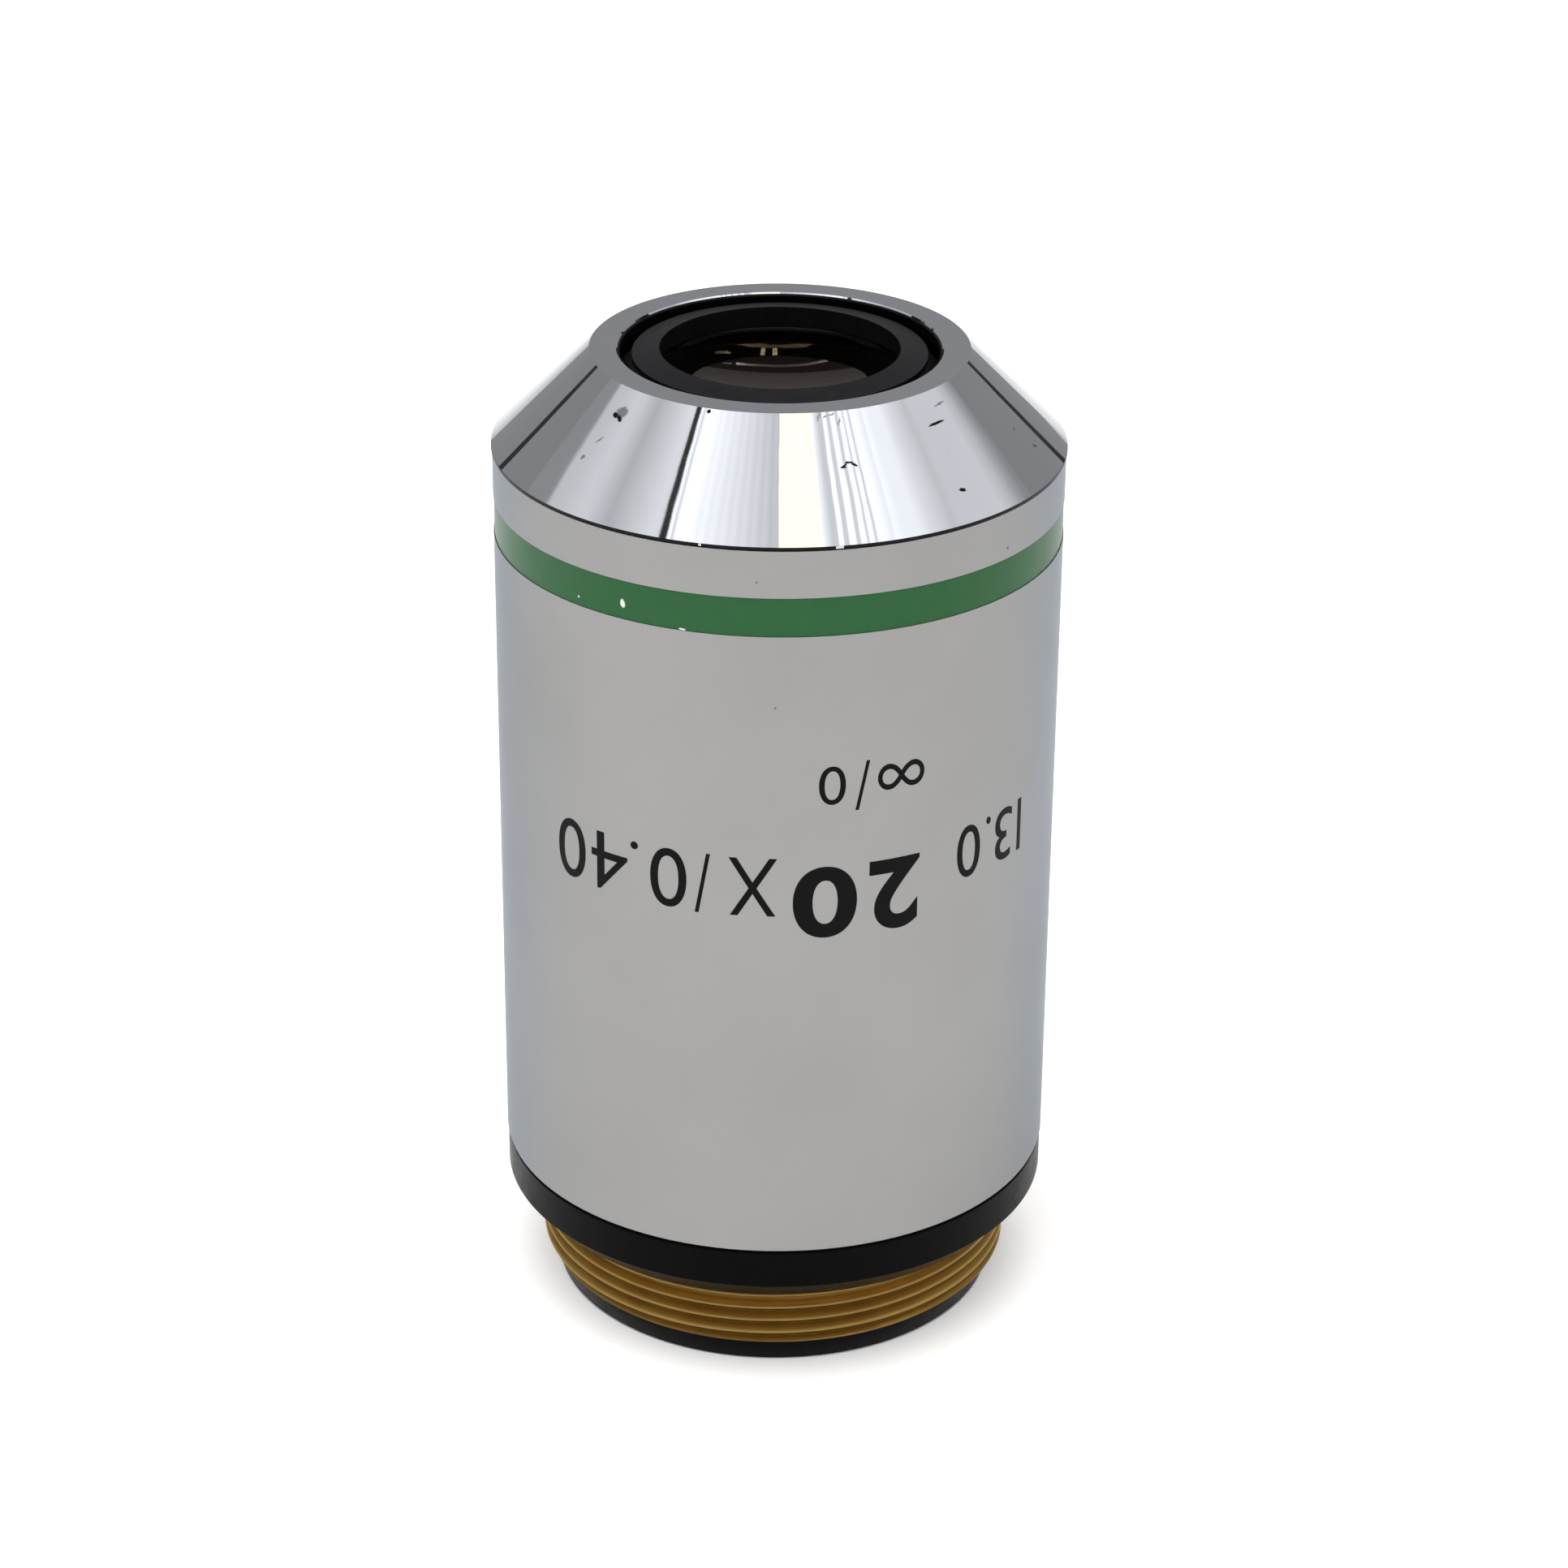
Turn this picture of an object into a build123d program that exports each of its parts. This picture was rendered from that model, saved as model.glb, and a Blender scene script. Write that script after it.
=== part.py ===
from build123d import *
import os
from math import sqrt

# Microscope objective, 20x, aperture 0.40, long working distance, for a 200 mm tube lens.
# Millimetres. The origin is the centre of the mounting shoulder, and +Z runs up to the front lens.
# Everything is turned about the Z axis. The outside is sized from the mounting thread outwards,
# the lens stack from the nose downwards.

# Lengths that let one objective take another's place on a nosepiece
parfocal_length = 60.0       # mounting shoulder to specimen
working_distance = 13.0      # nose to specimen
thread_radius = 12.5         # M25 x 0.75 mounting thread, over its crests
thread_depth = 0.46          # radial depth of the thread form
thread_length = 3.75
pilot_length = 1.25          # plain end that guides the thread into the nosepiece
pilot_taper = 0.35           # how much the pilot narrows along its length

# Turned brass body
thread_wall = 1.54           # under the thread's root
barrel_wall = 2.85           # above the mounting ring
ring_height = 3.2            # black mounting ring
ring_step = 0.05             # the ring's outside lies this much within the sleeve's
ring_chamfer_radial = 1.05
ring_chamfer_height = 1.1
ring_top_chamfer = 0.15
land_length = 4.0            # the sleeve sits on one such land at each end
relief_depth = 0.45          # the body is turned down between its lands
neck_length = 2.9            # threaded neck under the nose cone
neck_depth = 1.05            # step from the land down to the neck
neck_run = 0.3               # free length under and over the neck's thread
rear_bevel = 0.3             # inside edge of the rear end

# Outer sleeve and its coloured ring
sleeve_wall = 1.0
sleeve_fit = 0.05            # radial clearance over the body's lands
sleeve_edge = 0.1
band_height = 2.0
band_drop = 2.5              # from the sleeve's upper end down to the band
groove_depth = 0.15
enamel_thickness = 0.11

# Nose cone
cone_height = 5.0
cone_overhang = 0.05         # the cone's foot stands out over the sleeve
cone_wall = 2.12             # measured along the radius
cone_foot = 0.12             # short upright edge at the cone's foot
nose_face_width = 1.5
nose_bore_edge = 0.15
skirt_length = 2.6           # threaded skirt inside the sleeve
screw_fit = 0.05             # radial clearance between threads drawn as plain cylinders

# Lens tube and the rings that close it
tube_fit = 0.05              # radial clearance in the body's bore
tube_wall = 1.05
tube_relief = 0.35
tube_land = 4.5              # guiding length at the tube's front end
tube_thread = 7.0            # focusing thread at its rear end
screw_collar = 6.0           # length of full thickness round the centring screws
tube_lip = 0.8               # front lip that holds the stack
tube_lip_bevel = 0.85
lip_depth = 3.8              # nose down to the face that the front cell rests on
tube_tail = 0.3              # the tube reaches this much past the retaining ring
retaining_height = 1.6
locking_height = 1.7
locking_width = 1.55         # radial
slot_width = 1.4             # spanner slots
slot_depth = 0.8

# Lens cells
cell_fit = 0.03              # radial clearance in the lens tube
centring_room = 0.2          # radial room that the fifth cell has for centring
cell_edge = 0.15
glass_fit = 0.02             # radial clearance of a lens in its cell
seat_gap = 0.01              # left under a lens for its cement
seat_width = 0.5             # how far the seats reach in over the glass
rim_height = 0.3             # spun rim that closes each cell
cell_lip = 0.6               # solid lip under each lens
counterbore = 0.45           # step from the glass out to the open end of a cell
cement = 0.01                # between the two glasses of a doublet
glass_bevel = 0.15

# Front cell
face_drop = 0.05             # the cell's front edge lies this much behind the nose
face_rise = 0.25             # its face rises this much towards the lens
cell_gap = 0.63              # dark ring between the cell and the nose's bore
cell_rim_wall = 0.3          # short upright edge of the cell's face
cell_flare = 1.33            # the cell widens by this much behind the nose's bore
flange_seat = 0.67           # width of the face that rests on the tube's lip
front_lens_depth = 1.2       # from the cell's front edge down to the lens's seat
front_opening_wall = 1.37    # from the cell's rim in to the opening over the lens
opening_flare = 0.35         # the opening widens towards the lens, as the light cone does

# Glass: thickness on the axis, and radius of each spherical face.
# A radius is positive where the face bulges out of the element and negative where it is hollow.
# Each wall is what the cell keeps outside its glass.
front_lens_wall = 1.4
front_lens_thickness = 3.4
front_lens_front = -27.1
front_lens_rear = 14.5

second_wall = 1.27
second_thickness = 3.2
second_front = 93.0
second_rear = 28.9

third_wall = 1.17
third_crown_thickness = 5.2
third_flint_thickness = 1.3
third_front = 28.5
third_joint = 27.5
third_rear = 67.7

fourth_wall = 1.67
fourth_flint_thickness = 1.3
fourth_crown_thickness = 5.4
fourth_front = 16.7
fourth_joint = -20.1
fourth_rear = -49.0

fifth_taper = 0.83           # its radius as a share of the fourth's: the light narrows on its way back
fifth_crown_thickness = 4.0
fifth_flint_thickness = 1.4
fifth_front = -459.0
fifth_joint = 33.2
fifth_rear = -8.6
fifth_land = 1.8             # flat ring round the hollow ground into its rear face

rear_taper = 0.845           # its radius as a share of the fifth's
rear_flint_thickness = 1.5
rear_crown_thickness = 3.6
rear_front = -11.6
rear_joint = -313.0
rear_rear = 18.0
rear_land = 1.2              # flat ring round the hollow ground into its front face

# Air on the axis between elements that bulge towards each other. The rings below set the rest.
air_1_2 = 0.4
air_2_3 = 0.3
air_3_4 = 0.3

# Rings between the cells, and the aperture stop
second_recess = 0.4          # free depth in the second cell's mouth, over its spun rim
spacer_height = 0.91         # between the fourth and fifth cells
stop_spacer_height = 1.36    # between the fifth cell and the aperture stop
stop_radius = 3.6
stop_thickness = 0.4
stop_recess = 0.4            # free depth in the rear cell's mouth, over its spun rim

# Centring screws, three round the fifth cell
screw_count = 3
screw_radius = 1.0
screw_sink = 0.05            # below the tube's outside
screw_socket = 0.45          # radius of the socket
screw_socket_depth = 0.6
access_radius = 1.3          # hole through the body to reach each screw
cut_past = 1.0               # how far holes and slots are cut past the walls they go through

# Heights worked out from the sizes above
nose_z = parfocal_length - working_distance
cone_z = nose_z - cone_height
thread_end_z = -thread_length
rear_z = thread_end_z - pilot_length
band_top_z = cone_z - band_drop
band_low_z = band_top_z - band_height
body_top_z = cone_z - neck_run
land_top_z = cone_z - neck_length - neck_run

# Radii worked out from the sizes above
thread_root = thread_radius - thread_depth
body_bore = thread_root - thread_wall
land_radius = body_bore + barrel_wall
neck_radius = land_radius - neck_depth
sleeve_bore = land_radius + sleeve_fit
sleeve_radius = sleeve_bore + sleeve_wall
ring_radius = sleeve_radius - ring_step
tube_radius = body_bore - tube_fit
tube_bore = tube_radius - tube_wall
cell_radius = tube_bore - cell_fit
snout_radius = cell_radius - flange_seat
lip_bore = snout_radius + tube_fit
face_radius = snout_radius - cell_flare
nose_bore = face_radius + cell_gap
nose_radius = nose_bore + nose_face_width
cone_radius = sleeve_radius + cone_overhang


def turned(*corners):
    """Solid turned about the optical axis from its half section, given as (radius, height)."""
    outline = Polyline(*[(r, 0, z) for r, z in corners], close=True)
    return revolve(make_face(outline), Axis.Z)


def sag(bulge, r):
    """How far a spherical face falls back from its vertex at distance r from the axis."""
    depth = abs(bulge) - sqrt(bulge**2 - r**2)
    return depth if bulge > 0 else -depth


class Element:
    """One glass element. Its hollow faces end in a flat ring, which is what it is seated on."""

    def __init__(self, front_z, thickness, front, rear, radius, front_dish=None, rear_dish=None):
        self.front_z = front_z
        self.rear_z = front_z - thickness
        self.front = front
        self.rear = rear
        self.radius = radius
        self.front_dish = front_dish or radius - seat_width
        self.rear_dish = rear_dish or radius - seat_width

    def front_at(self, r):
        return self.front_z - sag(self.front, r)

    def rear_at(self, r):
        return self.rear_z + sag(self.rear, r)

    def front_seat(self, r):
        """Height of a seat whose inner edge, at radius r, meets the front face."""
        return seat_gap + self.front_at(r if self.front > 0 else self.front_dish)

    def rear_seat(self, r):
        return -seat_gap + self.rear_at(r if self.rear > 0 else self.rear_dish)

    def face_lines(self, height_at, bulge, dish, inward, joined):
        """Half section of one face, from the axis to the ground edge, and the point it ends at."""
        if joined:
            reach = self.radius
        else:
            reach = self.radius - glass_bevel if bulge > 0 else dish
        end = (reach, 0, height_at(reach))
        lines = [ThreePointArc((0, 0, height_at(0)), (reach / 2, 0, height_at(reach / 2)), end)]
        if not joined:
            if bulge < 0:
                shoulder = (self.radius - glass_bevel, 0, end[2])
                lines.append(Line(end, shoulder))
                end = shoulder
            edge = (self.radius, 0, end[2] + inward * glass_bevel)
            lines.append(Line(end, edge))
            end = edge
        return lines, end

    def solid(self, front_joined=False, rear_joined=False):
        front, front_end = self.face_lines(self.front_at, self.front, self.front_dish, -1, front_joined)
        rear, rear_end = self.face_lines(self.rear_at, self.rear, self.rear_dish, 1, rear_joined)
        edge = Line(front_end, rear_end)
        axis = Line((0, 0, self.rear_z), (0, 0, self.front_z))
        return revolve(make_face(front + [edge] + rear + [axis]), Axis.Z)


def vertex_under(seat_z, front, r):
    """Height of the vertex of a front face that meets its seat's inner edge, of radius r."""
    return seat_z - seat_gap + sag(front, r)


def seats(first, last):
    """Inner radius of a cell's seats, and the heights of the faces before and behind its glass."""
    r = first.radius - seat_width
    return r, first.front_seat(r), last.rear_seat(r)


def doublet(front_z, first, second, front, joint, rear, radius, front_dish=None, rear_dish=None):
    """Two elements cemented on one spherical face, whose radius is given as on the first of them."""
    a = Element(front_z, first, front, joint, radius, front_dish=front_dish)
    b = Element(a.rear_z - cement, second, -joint, rear, radius, rear_dish=rear_dish)
    return a, b


# The lens stack, from the nose down
opening_radius = face_radius - front_opening_wall
front_edge_z = nose_z - face_drop
front_seat_z = front_edge_z - front_lens_depth
front_dish = opening_radius + opening_flare
front_lens = Element(
    vertex_under(front_seat_z, front_lens_front, front_dish),
    front_lens_thickness,
    front_lens_front,
    front_lens_rear,
    snout_radius - front_lens_wall,
    front_dish=front_dish,
)
second_lens = Element(
    front_lens.rear_z - air_1_2,
    second_thickness,
    second_front,
    second_rear,
    cell_radius - second_wall,
)
second_low_z = seats(second_lens, second_lens)[2] - cell_lip
third_crown, third_flint = doublet(
    second_lens.rear_z - air_2_3,
    third_crown_thickness,
    third_flint_thickness,
    third_front,
    third_joint,
    third_rear,
    cell_radius - third_wall,
)
third_low_z = seats(third_crown, third_flint)[2] - cell_lip
fourth_flint, fourth_crown = doublet(
    third_flint.rear_z - air_3_4,
    fourth_flint_thickness,
    fourth_crown_thickness,
    fourth_front,
    fourth_joint,
    fourth_rear,
    cell_radius - fourth_wall,
)
fourth_low_z = seats(fourth_flint, fourth_crown)[2] - cell_lip
fifth_glass = fourth_crown.radius * fifth_taper
fifth_top_z = fourth_low_z - spacer_height
fifth_crown, fifth_flint = doublet(
    vertex_under(fifth_top_z - rim_height, fifth_front, fifth_glass - seat_width),
    fifth_crown_thickness,
    fifth_flint_thickness,
    fifth_front,
    fifth_joint,
    fifth_rear,
    fifth_glass,
    rear_dish=fifth_glass - fifth_land,
)
fifth_low_z = seats(fifth_crown, fifth_flint)[2] - cell_lip
stop_top_z = fifth_low_z - stop_spacer_height
rear_top_z = stop_top_z - stop_thickness
rear_glass = fifth_glass * rear_taper
rear_flint, rear_crown = doublet(
    vertex_under(rear_top_z - stop_recess - rim_height, rear_front, rear_glass - rear_land),
    rear_flint_thickness,
    rear_crown_thickness,
    rear_front,
    rear_joint,
    rear_rear,
    rear_glass,
    front_dish=rear_glass - rear_land,
)


lip_z = nose_z - lip_depth
front_cell_low_z = seats(second_lens, second_lens)[1] + rim_height + second_recess
rear_low_z = seats(rear_flint, rear_crown)[2] - cell_lip
retaining_low_z = rear_low_z - retaining_height
tube_rear_z = retaining_low_z - tube_tail
locking_low_z = tube_rear_z - locking_height
screw_z = (fifth_top_z + fifth_low_z) / 2
fifth_radius = cell_radius - centring_room


def cell(top, bottom, first, last, outer=cell_radius):
    """Drum that holds one lens or doublet between a solid lip and a rim spun over the glass."""
    aperture, front_seat, rear_seat = seats(first, last)
    glass = first.radius + glass_fit
    mouth = first.radius + counterbore
    rim_top = front_seat + rim_height
    corners = [(outer - cell_edge, top), (outer, top - cell_edge)]
    corners += [(outer, bottom + cell_edge), (outer - cell_edge, bottom)]
    corners += [(aperture, bottom), (aperture, rear_seat), (glass, rear_seat), (glass, front_seat)]
    corners += [(aperture, front_seat), (aperture, rim_top)]
    if top > rim_top:
        corners += [(mouth, rim_top), (mouth, top)]
    return turned(*corners)


def front_cell():
    """Cell seen inside the nose: sloped face, opening over the lens, flare and seating flange."""
    glass = front_lens.radius + glass_fit
    aperture = front_lens.radius - seat_width
    rear_seat = front_lens.rear_seat(aperture)
    shoulder_z = front_edge_z - face_rise - cell_rim_wall
    return turned(
        (opening_radius, front_edge_z),
        (face_radius, front_edge_z - face_rise),
        (face_radius, shoulder_z),
        (snout_radius, shoulder_z - cell_flare),
        (snout_radius, lip_z),
        (cell_radius, lip_z),
        (cell_radius, front_cell_low_z),
        (front_lens.radius + counterbore, front_cell_low_z),
        (front_lens.radius + counterbore, rear_seat - rim_height),
        (aperture, rear_seat - rim_height),
        (aperture, rear_seat),
        (glass, rear_seat),
        (glass, front_seat_z),
        (front_dish, front_seat_z),
    )


def ring(inner, outer, low, top):
    return turned((inner, low), (outer, low), (outer, top), (inner, top))


def spanner_slots(radius, low):
    """Two slots across the rear face of a ring of this radius, opposite each other."""
    return Pos(0, 0, low) * Box(2 * (radius + cut_past), slot_width, 2 * slot_depth)


def round_the_axis(part, count):
    return [Rot(0, 0, 360 * i / count) * part for i in range(count)]


def radial_holes(radius, inner, outer):
    """Round holes through a wall, one for each centring screw."""
    hole = Cylinder(radius, outer - inner + 2 * cut_past, rotation=(0, 90, 0))
    return round_the_axis(Pos((inner + outer) / 2, 0, screw_z) * hole, screw_count)


def barrel_body():
    """Black brass body: pilot, thread blank, mounting ring, two lands and the nose cone's neck."""
    lower_land_z = ring_height + land_length
    upper_land_z = land_top_z - land_length
    relief = land_radius - relief_depth
    body = turned(
        (body_bore + rear_bevel, rear_z),
        (thread_root - pilot_taper, rear_z),
        (thread_root, thread_end_z),
        (thread_radius, thread_end_z + thread_depth),
        (thread_radius, 0),
        (ring_radius - ring_chamfer_radial, 0),
        (ring_radius, ring_chamfer_height),
        (ring_radius, ring_height - ring_top_chamfer),
        (ring_radius - ring_top_chamfer, ring_height),
        (land_radius, ring_height),
        (land_radius, lower_land_z),
        (relief, lower_land_z + relief_depth),
        (relief, upper_land_z - relief_depth),
        (land_radius, upper_land_z),
        (land_radius, land_top_z),
        (neck_radius, land_top_z),
        (neck_radius, body_top_z),
        (body_bore, body_top_z),
        (body_bore, rear_z + rear_bevel),
    )
    return body - radial_holes(access_radius, body_bore, land_radius)


def outer_sleeve():
    """Satin chromed tube clamped between the mounting ring and the nose cone."""
    groove = sleeve_radius - groove_depth
    return turned(
        (sleeve_bore, ring_height),
        (sleeve_radius - sleeve_edge, ring_height),
        (sleeve_radius, ring_height + sleeve_edge),
        (sleeve_radius, band_low_z),
        (groove, band_low_z),
        (groove, band_top_z),
        (sleeve_radius, band_top_z),
        (sleeve_radius, cone_z - sleeve_edge),
        (sleeve_radius - sleeve_edge, cone_z),
        (sleeve_bore, cone_z),
    )


def nose_cone():
    """Polished cone. Its foot clamps the sleeve and its skirt screws over the body's neck."""
    slope = (cone_radius - nose_radius) / (cone_height - cone_foot)
    skirt_bore = neck_radius + screw_fit
    inner_foot_z = cone_z + (cone_radius - cone_wall - skirt_bore) / slope
    inner_tip_z = cone_z + cone_foot + (cone_radius - cone_wall - nose_bore) / slope
    return turned(
        (skirt_bore, cone_z - skirt_length),
        (land_radius, cone_z - skirt_length),
        (land_radius, cone_z),
        (cone_radius, cone_z),
        (cone_radius, cone_z + cone_foot),
        (nose_radius, nose_z),
        (nose_bore + nose_bore_edge, nose_z),
        (nose_bore, nose_z - nose_bore_edge),
        (nose_bore, inner_tip_z),
        (skirt_bore, max(cone_z, inner_foot_z)),
    )


def lens_tube():
    """Inner tube that carries the stack. Its rear thread sets the parfocal distance."""
    thread_top_z = tube_rear_z + tube_thread
    land_low_z = body_top_z - tube_land
    collar_low_z = screw_z - screw_collar / 2
    collar_top_z = screw_z + screw_collar / 2
    waist = tube_radius - tube_relief
    tube_top_z = lip_z + tube_lip
    tube = turned(
        (tube_bore, tube_rear_z),
        (tube_radius, tube_rear_z),
        (tube_radius, thread_top_z),
        (waist, thread_top_z),
        (waist, collar_low_z),
        (tube_radius, collar_low_z),
        (tube_radius, collar_top_z),
        (waist, collar_top_z),
        (waist, land_low_z),
        (tube_radius, land_low_z),
        (tube_radius, tube_top_z - tube_lip_bevel),
        (tube_radius - tube_lip_bevel, tube_top_z),
        (lip_bore, tube_top_z),
        (lip_bore, lip_z),
        (tube_bore, lip_z),
    )
    tube -= radial_holes(screw_radius + screw_fit, tube_bore, tube_radius)
    return tube - spanner_slots(tube_radius, tube_rear_z)


def locking_ring():
    """Ring screwed up behind the lens tube to lock its setting."""
    inner = tube_radius - locking_width
    body = ring(inner, tube_radius, locking_low_z, tube_rear_z)
    return body - spanner_slots(tube_radius, locking_low_z)


def retaining_ring():
    """Ring screwed into the lens tube behind the stack."""
    inner = rear_crown.radius - seat_width
    body = ring(inner, cell_radius, retaining_low_z, rear_low_z)
    return body - spanner_slots(cell_radius, retaining_low_z)


def centring_screws():
    """Three socket set screws in the tube's wall, their points on the fifth cell."""
    head = tube_radius - screw_sink
    shank = Cylinder(screw_radius, head - fifth_radius, rotation=(0, 90, 0))
    socket = Cylinder(screw_socket, 2 * screw_socket_depth, rotation=(0, 90, 0))
    screw = Pos((head + fifth_radius) / 2, 0, screw_z) * shank - Pos(head, 0, screw_z) * socket
    return Compound(children=round_the_axis(screw, screw_count))


pieces = {
    "barrel_body": barrel_body(),
    "outer_sleeve": outer_sleeve(),
    "colour_band": ring(
        sleeve_radius - groove_depth,
        sleeve_radius - groove_depth + enamel_thickness,
        band_low_z,
        band_top_z,
    ),
    "nose_cone": nose_cone(),
    "lens_tube": lens_tube(),
    "locking_ring": locking_ring(),
    "retaining_ring": retaining_ring(),
    "centring_screws": centring_screws(),
    "front_cell": front_cell(),
    "front_lens": front_lens.solid(),
    "second_cell": cell(front_cell_low_z, second_low_z, second_lens, second_lens),
    "second_lens": second_lens.solid(),
    "third_cell": cell(second_low_z, third_low_z, third_crown, third_flint),
    "third_crown_lens": third_crown.solid(rear_joined=True),
    "third_flint_lens": third_flint.solid(front_joined=True),
    "fourth_cell": cell(third_low_z, fourth_low_z, fourth_flint, fourth_crown),
    "fourth_flint_lens": fourth_flint.solid(rear_joined=True),
    "fourth_crown_lens": fourth_crown.solid(front_joined=True),
    "spacer_ring": ring(fourth_crown.radius, cell_radius, fifth_top_z, fourth_low_z),
    "fifth_cell": cell(fifth_top_z, fifth_low_z, fifth_crown, fifth_flint, fifth_radius),
    "fifth_crown_lens": fifth_crown.solid(rear_joined=True),
    "fifth_flint_lens": fifth_flint.solid(front_joined=True),
    "stop_spacer": ring(fifth_crown.radius, cell_radius, stop_top_z, fifth_low_z),
    "aperture_stop": ring(stop_radius, cell_radius, rear_top_z, stop_top_z),
    "rear_cell": cell(rear_top_z, rear_low_z, rear_flint, rear_crown),
    "rear_flint_lens": rear_flint.solid(rear_joined=True),
    "rear_crown_lens": rear_crown.solid(front_joined=True),
}

os.makedirs("parts", exist_ok=True)
for name, piece in pieces.items():
    export_step(piece, f"parts/{name}.step")
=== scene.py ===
import math

import bmesh
import bpy
from mathutils import Matrix, Vector


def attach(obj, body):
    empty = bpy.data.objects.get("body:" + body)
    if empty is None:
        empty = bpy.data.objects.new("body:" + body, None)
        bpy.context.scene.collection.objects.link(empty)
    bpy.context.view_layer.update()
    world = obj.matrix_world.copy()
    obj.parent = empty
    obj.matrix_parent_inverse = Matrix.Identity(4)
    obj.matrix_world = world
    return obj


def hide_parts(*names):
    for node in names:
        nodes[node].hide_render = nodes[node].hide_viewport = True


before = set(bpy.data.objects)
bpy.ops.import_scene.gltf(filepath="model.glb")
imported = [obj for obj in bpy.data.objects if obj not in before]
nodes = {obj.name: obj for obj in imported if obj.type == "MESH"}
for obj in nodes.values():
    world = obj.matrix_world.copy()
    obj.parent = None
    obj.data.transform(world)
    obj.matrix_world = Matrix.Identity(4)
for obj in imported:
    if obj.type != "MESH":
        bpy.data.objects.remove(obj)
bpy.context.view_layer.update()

# A 20x microscope objective, standing on its thread end. The sizes are in millimetres from the
# mounting shoulder, as in the CAD model. Blender's own unit is the metre.
MM = 0.001

# Black body and the M25 x 0.75 mounting thread that is cut on it
PITCH = 0.75
THREAD_RADIUS = 12.5
ROOT_RADIUS = 12.04
THREAD_LOW = -3.75
THREAD_TOP = -0.12            # a plain groove lies between the thread and the mounting ring
FIRST_CREST = -0.61           # height of the crest nearest to the ring, on the side seen first
LEAD_CHAMFER = 0.4            # height of the chamfer on the thread's first turn
REAR_Z = -5.0
PILOT_RADIUS = 11.69
PILOT_EDGE = 0.12
BODY_BORE = 10.5
REAR_BEVEL = 0.3
RING_RADIUS = 14.35
RING_HEIGHT = 3.2
RING_FOOT_RADIUS = 13.3       # the ring's chamfer starts here on its lower face
RING_CHAMFER = 1.1
RING_TOP_CHAMFER = 0.15
LAND_RADIUS = 13.35
LAND_LENGTH = 4.0
RELIEF_DEPTH = 0.45
LAND_TOP = 38.8
NECK_RADIUS = 12.3
BODY_TOP = 41.7

# Outside of the sleeve and of the nose cone
SLEEVE_RADIUS = 14.4
CONE_BASE_Z = 42.12
CONE_BASE_RADIUS = 14.45
NOSE_Z = 47.0
NOSE_RADIUS = 9.5
NOSE_FACE_WIDTH = 1.5


def linear(shade):
    """Turns an sRGB hex colour to the linear one that a shader takes."""
    parts = [int(shade[i:i + 2], 16) / 255 for i in (1, 3, 5)]
    return [c / 12.92 if c <= 0.04045 else ((c + 0.055) / 1.055) ** 2.4 for c in parts] + [1.0]


def add(tree, kind, inputs, output=0, **settings):
    """Adds a shader node with its settings, and its inputs as values or as sockets to link."""
    made = tree.nodes.new("ShaderNode" + kind)
    for name, value in settings.items():
        setattr(made, name, value)
    for name, value in inputs.items():
        if isinstance(value, bpy.types.NodeSocket):
            tree.links.new(value, made.inputs[name])
        else:
            made.inputs[name].default_value = value
    return made.outputs[output] if made.outputs else None


def material(name, finish, **inputs):
    """A material: plain values from inputs, and whatever its finish varies over the surface."""
    made = bpy.data.materials.new(name)
    made.use_nodes = True
    tree = made.node_tree
    tree.nodes.clear()
    metres = add(tree, "TexCoord", {}, "Object")
    place = add(tree, "VectorMath", {0: metres, "Scale": 1 / MM}, operation="SCALE")
    sockets = {key.replace("_", " "): value for key, value in inputs.items()}
    sockets.update(finish(tree, place))
    add(tree, "OutputMaterial", {"Surface": add(tree, "BsdfPrincipled", sockets)})
    return made


def outward(azimuth, lean=0.0):
    """Unit vector away from the axis. Azimuth 0 faces the camera and grows to the right, in degrees."""
    a = math.radians(azimuth)
    b = math.radians(lean)
    return Vector((math.sin(a) * math.cos(b), -math.cos(a) * math.cos(b), math.sin(b)))


def spot_at(azimuth, height, slope, half_length, half_width, turn):
    """Frame of a worn spot on a face of revolution: its centre, its axes as angles, its half sizes.

    slope is how far the face leans up from upright, and turn is from the level to its long side."""
    share = (height - CONE_BASE_Z) / (NOSE_Z - CONE_BASE_Z)
    radius = SLEEVE_RADIUS
    if slope:
        radius = CONE_BASE_RADIUS + share * (NOSE_RADIUS - CONE_BASE_RADIUS)
    centre = radius * outward(azimuth) + Vector((0, 0, height))
    normal = outward(azimuth, slope)
    level = Vector((0, 0, 1)).cross(normal).normalized()
    rise = normal.cross(level)
    a = math.radians(turn)
    along = math.cos(a) * level + math.sin(a) * rise
    across = normal.cross(along)
    axes = Matrix((along, across, normal)).transposed()
    return centre, axes.to_euler(), (half_length, half_width, 0.3)


def worn_spots(tree, place, spots, ragged):
    """Mask that is 1 in each of the spots. ragged is how far their edges stray, in millimetres."""
    noise = add(tree, "TexNoise", {"Vector": place, "Scale": 4.0, "Detail": 3.0}, "Color")
    stray = add(tree, "VectorMath", {0: noise, 1: (0.5, 0.5, 0.5)}, operation="SUBTRACT")
    stray = add(tree, "VectorMath", {0: stray, "Scale": 2 * ragged}, operation="SCALE")
    place = add(tree, "VectorMath", {0: place, 1: stray}, operation="ADD")
    mask = None
    for spot in spots:
        centre, turned, size = spot_at(*spot)
        frame_of_spot = {"Vector": place, "Location": centre, "Rotation": turned, "Scale": size}
        near = add(tree, "Mapping", frame_of_spot, vector_type="TEXTURE")
        far = add(tree, "VectorMath", {0: near}, "Value", operation="LENGTH")
        inside = add(tree, "MapRange", {
            "Value": far, "From Min": 0.75, "From Max": 1.1, "To Min": 1.0, "To Max": 0.0,
        })
        mask = add(tree, "Math", {0: mask, 1: inside}, operation="MAXIMUM") if mask else inside
    return mask


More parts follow.
